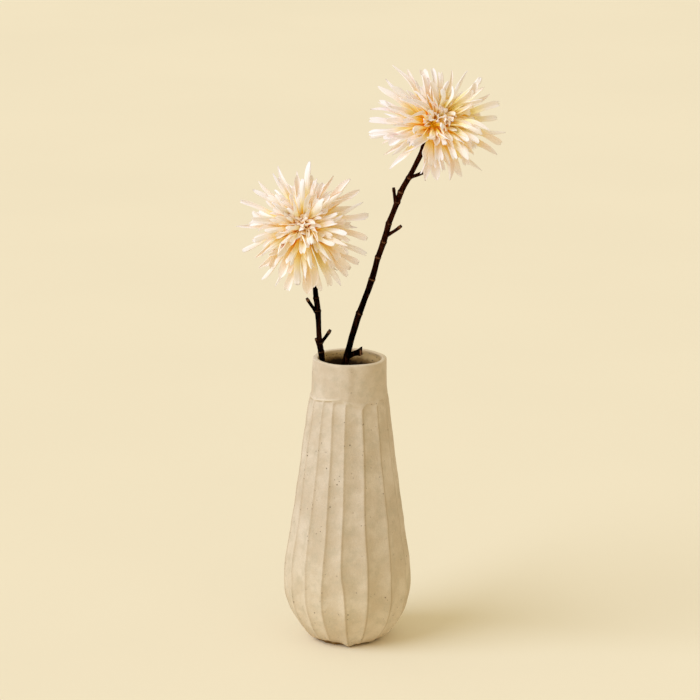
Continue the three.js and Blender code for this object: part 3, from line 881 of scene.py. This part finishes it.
# Stems
def tube(line, radii, sides):
    """A closed tube along a line of points. Its section turns as little as it can."""
    line = np.asarray(line, float)
    ways = np.gradient(line, axis=0)
    ways /= np.linalg.norm(ways, axis=1, keepdims=True)
    across = unit(np.cross(ways[0], [0.3, 1.0, 0.2]))
    turn = full_turn(sides)
    rings = []
    for i, way in enumerate(ways):
        across = unit(across - way * (across @ way))
        other = np.cross(way, across)
        out = np.outer(np.cos(turn), across) + np.outer(np.sin(turn), other)
        rings.append(line[i] + out * np.reshape(radii[i], (-1, 1)))
    points = np.concatenate(rings)
    faces = ring_faces(len(line), sides).tolist()
    last = (len(line) - 1) * sides
    faces.append(tuple(range(sides - 1, -1, -1)))
    faces.append(tuple(last + side for side in range(sides)))
    return points, faces


def stem_line(stem, head):
    neck = unit(head["neck"])
    centre = np.array(head["centre"])
    ends = [centre - neck * (NECK_END + STEM_END_RUN), centre - neck * (NECK_END + GAP)]
    points = np.vstack([stem["points"], ends])
    dense = spline(points, np.linspace(0, len(points) - 1, 2000))
    run = np.concatenate([[0], np.cumsum(np.linalg.norm(np.diff(dense, axis=0), axis=1))])
    steps = np.linspace(0, run[-1], int(run[-1] / STEM_STEP))
    line = np.stack([np.interp(steps, run, dense[:, i]) for i in range(3)], 1)
    # Each length between two joints sets off in a slightly new direction
    joints = [line[0, 2]] + stem["scars"] + [line[-1, 2]]
    kinks = [0.0] + [STEM_KINK * (-1) ** i for i in range(len(stem["scars"]))] + [0.0]
    return line + np.outer(np.interp(line[:, 2], joints, kinks), [1.0, 0.0, 0.0])


def stem_radii(stem, line, seed):
    """Taper, knots at the ring scars and a lightly fluted bark."""
    share = np.linspace(0, 1, len(line))[:, None]
    turn = full_turn(STEM_SIDES)
    radius = stem["foot_r"] + (stem["tip_r"] - stem["foot_r"]) * share
    z = line[:, 2:3]
    for height in stem["scars"]:
        for rise, above, half in KNOTS:
            radius = radius + rise * bell(z - height - above, half)
    # The last of the stem narrows to the soft neck
    to_end = np.linalg.norm(line - line[-1], axis=1)[:, None]
    radius = radius * (1 - 0.25 * smooth(16.0, 0.0, to_end))
    bark = 0.10 * np.sin(5 * turn + z / 14 + seed) + 0.07 * np.sin(9 * turn - z / 9)
    lumps = 0.12 * np.sin(z / 6.3 + 2 * turn + seed) + 0.08 * np.sin(z / 2.9 + turn)
    return radius + bark + lumps


def make_twig(twig, number):
    """A side twig cut off short: thicker at its foot, a small knob near its flat end. Some flare out."""
    start, end = np.array(twig["from"], float), np.array(twig["to"], float)
    length = np.linalg.norm(end - start)
    share = np.linspace(0, 1, int(length / 0.7))
    bow = np.sin(share * math.pi)[:, None] * np.array([0.0, 0.0, -0.05 * length])
    line = start + share[:, None] * (end - start) + bow
    turn = full_turn(TWIG_SIDES)
    radius = twig["r"] * (1 + 0.45 * bell(share, 0.22) - 0.18 * share)
    radius = radius + 0.16 * twig["r"] * bell(share - KNOB_AT, 0.06)
    # A flared twig widens downwards into its cut end
    flare = twig.get("flare", 0.0) * smooth(0.35, 1.1, share) / smooth(0.35, 1.1, 1.0)
    radius = radius + flare
    line = line - flare[:, None] * np.array([0.0, 0.0, 0.75])
    bark = 1 + 0.05 * np.sin(4 * turn + 9 * share[:, None] + number)
    points, faces = tube(line, radius[:, None] * bark, TWIG_SIDES)
    if "flare" in twig:
        off = points - np.repeat(line, TWIG_SIDES, axis=0)
        upright = np.repeat(smooth(0.3, 1.0, share), TWIG_SIDES)
        points[:, 0] += 0.52 * upright * off[:, 2]
        points[:, 1] -= 0.4 * upright * off[:, 1]
    return (points, faces), len(line)


def make_stem(name, stem, head, seed, material):
    line = stem_line(stem, head)
    points, faces = tube(line, stem_radii(stem, line, seed), STEM_SIDES)
    z = np.repeat(line[:, 2], STEM_SIDES)
    scar = np.zeros(len(points))
    for i, height in enumerate(stem["scars"]):
        strength = between(0.35, 1.0, seed, i, 8)
        scar = np.maximum(scar, strength * bell(z - height, SCAR_HALF))
    cut = np.zeros(len(points))
    cut[:STEM_SIDES] = 1.0
    parts, scars, cuts = [(points, faces)], [scar], [cut]
    for number, twig in enumerate(stem["twigs"]):
        part, rings = make_twig(twig, number)
        parts.append(part)
        ring = np.arange(rings * TWIG_SIDES) // TWIG_SIDES
        cuts.append((ring >= rings - 1).astype(float))
        scars.append(0.8 * bell(ring / rings - KNOB_AT, 0.05))
    values = {"scar": np.concatenate(scars), "cut": np.concatenate(cuts)}
    piece = make_piece(f"{name}_bark", *join(parts), material, values)
    stand_for(piece, name)


# Flower heads
def head_frame(head):
    """Rotation from the head's own axes, facing +Z, to the frame's axes."""
    facing = Vector(unit(head["facing"]).tolist())
    return np.array(Vector((0, 0, 1)).rotation_difference(facing).to_matrix())


def polar(angle, turn):
    return np.array([math.sin(angle) * math.cos(turn), math.sin(angle) * math.sin(turn), math.cos(angle)])


def ring_of(one):
    """The ring that a floret leaning this far from the flower's axis belongs to."""
    lean = math.degrees(math.acos(one["way"][2]))
    return min(round((lean - FIRST_RING) / RING_STEP), len(RINGS) - 1)


def floret(way, reach, width, tip=None):
    """A floret to be made. Its way is in the head's own axes, and only a placed one has its tip chosen."""
    return {"way": way, "reach": reach, "width": width, "tip": tip, "placed": tip is not None}


def placed_florets(head, turned):
    """The florets whose tips the viewer can place: the outline, and those that end in front of it."""
    entries = [(clock, reach, reach, width, tip) for clock, reach, width, tip in head["outline"]]
    found = []
    for clock, out, reach, width, tip in entries + head["seen"]:
        share = out / reach
        flat = VIEW_RIGHT * math.cos(math.radians(clock)) + VIEW_UP * math.sin(math.radians(clock))
        way = flat * share + VIEW_NEAR * math.sqrt(1 - share**2)
        found.append(floret(turned.T @ way, reach, width, tip))
    return found


def seen_clock(way):
    """Where a floret points as the viewer sees it: degrees round from the right, from 180 to 540."""
    return math.degrees(math.atan2(way @ VIEW_UP, way @ VIEW_RIGHT)) + 360


def in_clearing(head, way, reach):
    """True for a floret that would hide the neck from the viewer. A short one only hides the ball."""
    out = reach * math.hypot(way @ VIEW_UP, way @ VIEW_RIGHT)
    return head["clearing"][0] < seen_clock(way) < head["clearing"][1] and out > CLEARING_OUT


def in_thin_place(head, way, ring, i):
    """True for every second floret of the middle rings, on the side where the head is thinner."""
    first, last = THIN_RINGS
    return head["thin"][0] < seen_clock(way) < head["thin"][1] and first <= ring <= last and i % 2 == 1


def spread_florets(head, turned, ring, seed, placed):
    """The other florets of the ring, spread between the placed ones."""
    full, length, wide = RINGS[ring]
    fine = head["fine"] if ring < TUFT_RINGS else 1.0
    count = round(full / fine)
    pitch = TAU / count
    found = []
    for i in range(count):
        turn = pitch * (i + 0.5 * (ring % 2) + TURN_UNEVEN * scatter(seed, ring, i))
        lean = FIRST_RING + RING_STEP * ring + LEAN_UNEVEN * scatter(seed, ring, i + 200)
        own = polar(math.radians(lean), turn)
        crowded = any(own @ other["way"] > math.cos(math.radians(CLEAR_DEGREES)) for other in placed)
        way = turned @ own
        squash = 1 - head["squash"] * way[2] ** 2
        uneven = TUFT_UNEVEN if ring < TUFT_RINGS else REACH_UNEVEN
        reach = length * squash * (1 + uneven * scatter(seed, ring, i + 100))
        if crowded or in_clearing(head, way, reach) or in_thin_place(head, way, ring, i):
            continue
        width = wide * fine * (1 + WIDTH_UNEVEN * scatter(seed, ring, i + 400))
        found.append(floret(own, reach, width))
    return found


def strap_spine(root, tip, start_way, end_way, wobble, side, front):
    """Points along a smooth, slightly uneven arc from root to tip, and the way it runs at each."""
    t = np.array(STATIONS)[:, None]
    length = np.linalg.norm(tip - root)
    b = root + start_way * length * ROOT_RUN
    c = tip - end_way * length * TIP_RUN
    line = (1 - t) ** 3 * root + 3 * (1 - t) ** 2 * t * b + 3 * (1 - t) * t**2 * c + t**3 * tip
    stray = np.sin(math.pi * t) * length * STRAY
    line = line + stray * np.sin(5.0 * t + wobble) * side + stray * np.sin(6.0 * t + 2 * wobble) * front
    ways = np.gradient(line, t[:, 0], axis=0)
    return line, ways / np.linalg.norm(ways, axis=1, keepdims=True)


def strap_width(t, spec):
    """Narrow rolled root, widest past the middle, then the tip."""
    begin, power, least = TIPS[spec["tip"]]
    grow = spec["root"] + (1 - spec["root"]) * smooth(0.0, spec["wide_at"], t)
    x = np.clip((t - begin) / (1 - begin), 0, 1)
    return spec["width"] * grow * (least + (1 - least) * (1 - x**power))


def tip_teeth(u, spec):
    """How far the end is cut back across the floret: two or three soft teeth."""
    corner = 0.35 * smooth(0.6, 1.0, abs(u))
    if spec["tip"] != N:
        return corner * 0.6
    if spec["teeth"] == 2:
        return bell(u, 0.30) + corner
    return bell(abs(u) - 0.40, 0.18) + corner


def strap_mesh(line, ways, front, spec):
    """A thin closed strap. Its hollow or humped section opens from a rolled root."""
    t = np.array(STATIONS)
    u = np.array(ACROSS)
    hump = spec["hump"]
    width = strap_width(t, spec)
    opening = smooth(0.0, spec["open_by"], t)
    bend = spec["roll"] * (1 - opening) + spec["cup"] * opening
    bend = bend + (spec["tip_cup"] - spec["cup"]) * smooth(0.65, 1.0, t) * opening
    twist = spec["heel"] + spec["twist"] * smooth(0.1, 1.0, t)
    teeth = tip_teeth(u, spec) * spec["notch"] * spec["width"]
    crease = -spec["crease"] * bell(u, 0.28)
    rings = []
    for j, way in enumerate(ways):
        up = unit(front - way * (front @ way))
        side = np.cross(way, up)
        c, s = math.cos(twist[j]), math.sin(twist[j])
        up, side = up * c + side * s, side * c - up * s
        arc = max(bend[j], 0.05)
        r = width[j] / arc
        a = u * arc / 2
        thin = 0.45 + 0.55 * math.sin(math.pi * min(0.95 * t[j] + 0.2, 1.0))
        most = 0.5 * r if hump < 0 else 1.0
        thick = min(spec["thick"] * thin, most) * (1 - 0.6 * u**2)
        ruffle = spec["ruffle"] * np.sin(8 * t[j] + spec["phase"] + 1.5 * u) * u**2
        ruffle = ruffle * smooth(0.25, 0.8, t[j])
        ribs = spec["ribs"] * np.cos(2.6 * math.pi * u + spec["phase"]) * (1 - t[j] ** 4)
        rise = hump * (1 - np.cos(a)) * r + ruffle + (crease + ribs) * opening[j]
        top = line[j] + np.outer(np.sin(a) * r, side) + np.outer(rise, up)
        top = top - np.outer(teeth * smooth(0.84, 1.0, t[j]) ** 2, way)
        below = np.outer(hump * np.sin(a), side) - np.outer(np.cos(a), up)
        rings.append(np.vstack([top, (top + below * thick[:, None])[::-1]]))
    points = np.concatenate(rings)
    loop = 2 * len(u)
    faces = [ring_faces(len(t), loop)]
    for first, flip in ((0, 1), ((len(t) - 1) * loop, -1)):
        k = np.arange(len(u) - 1)
        cap = np.stack([first + k, first + k + 1, first + loop - 2 - k, first + loop - 1 - k], 1)
        faces.append(cap[:, ::-flip])
    # Only the hollow side of the floret gets painted shade in its middle
    middle = 1 - u**2
    sides = (middle, 0 * u) if hump > 0 else (0 * u, middle)
    values = {
        "along": np.repeat(t, loop),
        "across": np.outer(width / 2, np.concatenate([u, u[::-1]])).ravel(),
        "hollow": np.outer(opening, np.concatenate(sides)).ravel(),
    }
    return points, np.vstack(faces).tolist(), values


def laid_out(width, arc):
    """The flat width of a floret that looks this wide when it is rolled to this arc."""
    return width * (arc / 2) / math.sin(min(arc, math.pi) / 2)


def floret_draw(seed, ring, i):
    """Draws the steady values of one floret, each by a number of its own."""
    return lambda low, high, number: between(low, high, seed, ring, i + number)


def floret_style(tuft, one, draw):
    """How one floret is rolled, hollowed, twisted and finished at its tip."""
    pick = draw(0, 1, 500)
    kinds = TUFT_TIPS if tuft else SPREAD_TIPS
    kind = one["tip"] or kinds[int(pick * len(kinds) * 0.999)]
    turned_back = draw(0, 1, 505) < 0.5
    cup = draw(1.8, 4.2, 520)
    return {
        "tip": kind,
        "width": laid_out(one["width"], cup),
        "root": 0.5 if tuft else 0.55,
        "wide_at": draw(0.35, 0.75, 508),
        "hump": -1 if turned_back else 1,
        "roll": 3.4,
        "open_by": draw(0.25, 0.7, 510),
        "cup": cup,
        "tip_cup": cup * draw(0.45, 0.95, 530),
        "twist": math.radians(draw(-32, 32, 540)) * (1.6 if tuft else 1.0),
        "heel": math.radians(draw(-38, 38, 542)) * (0.6 if one["placed"] else 1.0),
        "crease": draw(0.3, 1.0, 545),
        "ribs": draw(0.1, 0.35, 547),
        "thick": TUFT_THICK if tuft else FLORET_THICK,
        "ruffle": draw(0.0, 0.45, 550),
        "phase": draw(0, TAU, 560),
        "notch": draw(0.2, 0.5, 570),
        "teeth": 2 if draw(0, 1, 580) < 0.5 else 3,
    }


def place_floret(head, turned, ring, one, draw):
    """The spine and front of one floret in the frame's axes."""
    centre = np.array(head["centre"])
    way = turned @ one["way"]
    x, y, z = one["way"]
    front = turned @ polar(math.acos(z) - math.pi / 2, math.atan2(y, x))
    if one["placed"]:
        front = unit(front + VIEW_NEAR)
        front = unit(front - way * (front @ way))
    side = np.cross(way, front)
    root = centre + way * ROOT_R
    tip = centre + way * one["reach"]
    # Inner florets stand up and then open outwards, back ones hang a little
    opening = 0.10 + 0.25 * smooth(8, 4, ring)
    swing = PLACED_SWING if one["placed"] else SPREAD_SWING
    arch = opening + draw(-swing, swing, 600)
    lean = draw(-swing, swing, 610)
    if not one["placed"]:
        sway = one["reach"] * SWAY
        tip = tip + front * sway * draw(-1, 1, 620) + side * sway * draw(-1, 1, 630)
    start_way = unit(way + front * arch + side * lean)
    end_way = unit(way - front * arch * 1.6 - side * lean * 1.6)
    if ring < TUFT_RINGS:
        curl = draw(*(HEART_CURL if ring == 0 else TUFT_CURL), 640)
        end_way = unit(way - front * curl + side * 0.7 * draw(-1, 1, 650))
    wobble = draw(0, TAU, 660)
    return strap_spine(root, tip, start_way, end_way, wobble, side, front), front


def skin_band(head, turned, ring):
    """The band of the receptacle's skin that one ring of florets grows from, as a thin bumpy shell."""
    first = 0.5 if ring == 0 else FIRST_RING + RING_STEP * (ring - 0.5) + 0.8
    last = FIRST_RING + RING_STEP * (ring + 0.5) - 0.8
    turns = full_turn(SKIN_STEPS)
    rings = []
    for degrees, depth in ((first, 0), ((first + last) / 2, 0), (last, 0), (last, 1), (first, 1)):
        radius = (BALL_R + GAP) if depth else SKIN_R + 0.25 * np.sin(9 * turns + degrees)
        a = math.radians(degrees)
        level = np.full(SKIN_STEPS, math.cos(a))
        band = np.stack([np.sin(a) * np.cos(turns), np.sin(a) * np.sin(turns), level], 1)
        rings.append(band * np.reshape(radius, (-1, 1)))
    points = np.concatenate(rings) @ turned.T + np.array(head["centre"])
    # The last ring is joined to the first
    faces = ring_faces(len(rings) + 1, SKIN_STEPS) % len(points)
    return points, faces[:, ::-1].tolist()


def gold_reach(head, way):
    """How far out the gold reaches along a floret pointing this way, further on the painted shade side."""
    # The gold reaches further on the side away from the light, as painted shade
    lean = VIEW_RIGHT * head["gold_shade_lean"][0] + VIEW_UP * head["gold_shade_lean"][1]
    return head["gold"] + max(0.0, way @ lean)


def floret_values(head, way, one, points, shape, draw):
    """What one floret tells its material at each of its points."""
    far = np.linalg.norm(points - np.array(head["centre"]), axis=1) / HEART_REACH
    bloom = (0.6 * shape["along"] + 0.4 * far) / gold_reach(head, way)
    tone = draw(0, 1, 700)
    green = draw(0, 1, 710) > GREEN_OVER
    withered = one["reach"] > WITHER_REACH and draw(0, 1, 720) > WITHER_OVER
    return {
        "bloom": bloom ** head["gold_edge"],
        "across": shape["across"],
        "hollow": shape["hollow"],
        "tone": np.full(len(points), tone),
        "green": np.full(len(points), float(green)),
        "wither": float(withered) * smooth(0.965, 1.0, shape["along"]),
    }


def make_ring(name, head, turned, ring, seed, placed, material):
    own = [one for one in placed if ring_of(one) == ring]
    florets = own + spread_florets(head, turned, ring, seed, placed)
    skin = skin_band(head, turned, ring)
    parts = [skin]
    values = [dict.fromkeys(FLORET_VALUES, np.zeros(len(skin[0])))]
    for i, one in enumerate(florets):
        draw = floret_draw(seed, ring, i)
        spec = floret_style(ring < TUFT_RINGS, one, draw)
        (line, ways), front = place_floret(head, turned, ring, one, draw)
        points, faces, shape = strap_mesh(line, ways, front, spec)
        parts.append((points, faces))
        values.append(floret_values(head, turned @ one["way"], one, points, shape, draw))
    joined = {key: np.concatenate([each[key] for each in values]) for key in FLORET_VALUES}
    label = f"{ring + 1:02d}"
    piece = make_piece(f"{name}_petals_{label}", *join(parts), material, joined)
    stand_for(piece, f"{name}_florets_{label}")


def make_bract(neck, spec, i, whorl):
    """One small pointed bract. It grows from the ball beside the neck and lies behind the florets."""
    across = unit(np.cross(neck, [0.2, 1.0, 0.1]))
    other = np.cross(neck, across)
    turn = TAU * (i + spec["turn"] + 0.12 * scatter(whorl, i, 3)) / spec["count"]
    out = across * math.cos(turn) + other * math.sin(turn)
    root_lean, tip_lean = math.radians(spec["root"]), math.radians(spec["tip"])
    root = (out * math.sin(root_lean) - neck * math.cos(root_lean)) * (BALL_R - 0.6)
    reach = spec["reach"] * (1 + 0.12 * scatter(whorl, i, 4))
    tip = (out * math.sin(tip_lean) - neck * math.cos(tip_lean)) * reach
    start_way = unit(out * 0.8 - neck * 0.6)
    end_way = unit(out - neck * between(-0.1, 0.5, whorl, i, 6))
    line, ways = strap_spine(root, tip, start_way, end_way, i, np.cross(out, neck), -neck)
    twist = 0.2 * scatter(whorl, i, 7)
    style = {**BRACT_STYLE, "width": spec["width"], "twist": twist, "phase": i}
    points, faces, values = strap_mesh(line, ways, -neck, style)
    return points, faces, values["along"]


def make_receptacle(name, head, material):
    """The ball that the florets grow from, its thin neck, and the green bracts behind the florets."""
    centre = np.array(head["centre"])
    neck = unit(head["neck"])
    run = -NECK_END + np.linspace(0, 1, NECK_ROWS) * (NECK_END + BALL_R * 0.98)
    line = centre + np.outer(run, neck)
    ball = np.sqrt(np.maximum(BALL_R**2 - run**2, 0.01))
    stalk = NECK_R + (NECK_FOOT_R - NECK_R) * smooth(-NECK_END * 0.6, -NECK_END, run)
    radius = np.maximum(ball * (run > -BALL_R), stalk)
    turn = full_turn(NECK_SIDES)
    lumps = 1 + 0.03 * np.sin(6 * turn) * smooth(-NECK_END, 0, run)[:, None]
    parts = [tube(line, radius[:, None] * lumps, NECK_SIDES)]
    browns = [smooth(-BALL_R - 5, -NECK_END, np.repeat(run, NECK_SIDES))]
    for whorl, spec in enumerate(BRACTS):
        for i in range(spec["count"]):
            points, faces, along = make_bract(neck, spec, i, whorl)
            parts.append((points + centre, faces))
            browns.append(0.55 * smooth(0.75, 1.0, along))
    values = {"brown": np.concatenate(browns)}
    piece = make_piece(f"{name}_receptacle_green", *join(parts), material, values)
    stand_for(piece, f"{name}_receptacle")


def make_head(name, head, seed, petal, green):
    turned = head_frame(head)
    placed = placed_florets(head, turned)
    make_receptacle(name, head, green)
    for ring in range(len(RINGS)):
        make_ring(name, head, turned, ring, seed, placed, petal)


# Camera, floor and light
def make_camera():
    camera = add_object("camera", bpy.data.cameras.new("camera"))
    bpy.context.scene.camera = camera
    camera.data.lens = CAMERA_LENS
    camera.data.sensor_width = 36.0
    camera.data.clip_end = 100.0
    place = Matrix.Translation(Vector(CAMERA_PLACE) * MM)
    pitch = Matrix.Rotation(math.radians(90 - CAMERA_PITCH), 4, "X")
    roll = Matrix.Rotation(math.radians(CAMERA_ROLL), 4, "Z")
    camera.matrix_world = place @ pitch @ roll


def make_floor():
    material, tree, shader = new_material("paper_floor", 0.15)
    cloud = span(tree, noise(tree, object_place(tree), 2.2, 2.0), 0.3, 0.7, 0.985, 1.0)
    colour = mix_colour(tree, 1.0, FLOOR_COLOUR, cloud, "MULTIPLY")
    feed(tree, shader.inputs["Base Color"], colour)
    shader.inputs["Roughness"].default_value = 0.9
    half = FLOOR_HALF
    corners = [(-half, -half, 0), (half, -half, 0), (half, half, 0), (-half, half, 0)]
    floor = make_piece("floor", corners, [(0, 1, 2, 3)], material)


def make_light():
    key = add_object("key", bpy.data.lights.new("key", "SUN"))
    key.data.energy = KEY_STRENGTH
    key.data.color = KEY_COLOUR
    key.data.angle = math.radians(KEY_SPREAD)
    key.rotation_mode = "QUATERNION"
    key.rotation_quaternion = Vector(KEY_FROM).to_track_quat("Z", "Y")
    world = bpy.data.worlds.new("room")
    world.use_nodes = True
    bpy.context.scene.world = world
    sky = world.node_tree.nodes["Background"]
    sky.inputs["Color"].default_value = (*ROOM_COLOUR, 1)
    sky.inputs["Strength"].default_value = ROOM_STRENGTH
    bpy.context.scene.view_settings.view_transform = "Standard"
    # Light soaks through many pale florets before it leaves the heart of a flower
    bpy.context.scene.cycles.max_bounces = LIGHT_BOUNCES
    bpy.context.scene.cycles.diffuse_bounces = LIGHT_BOUNCES


make_camera()
make_floor()
make_light()
make_vase(stoneware_material())
bark = wood_material()
make_stem("low_stem", LOW_STEM, LOW_HEAD, 1, bark)
make_stem("high_stem", HIGH_STEM, HIGH_HEAD, 2, bark)
cream = petal_material()
leaf_green = green_material()
make_head("low", LOW_HEAD, 1, cream, leaf_green)
make_head("high", HIGH_HEAD, 2, cream, leaf_green)
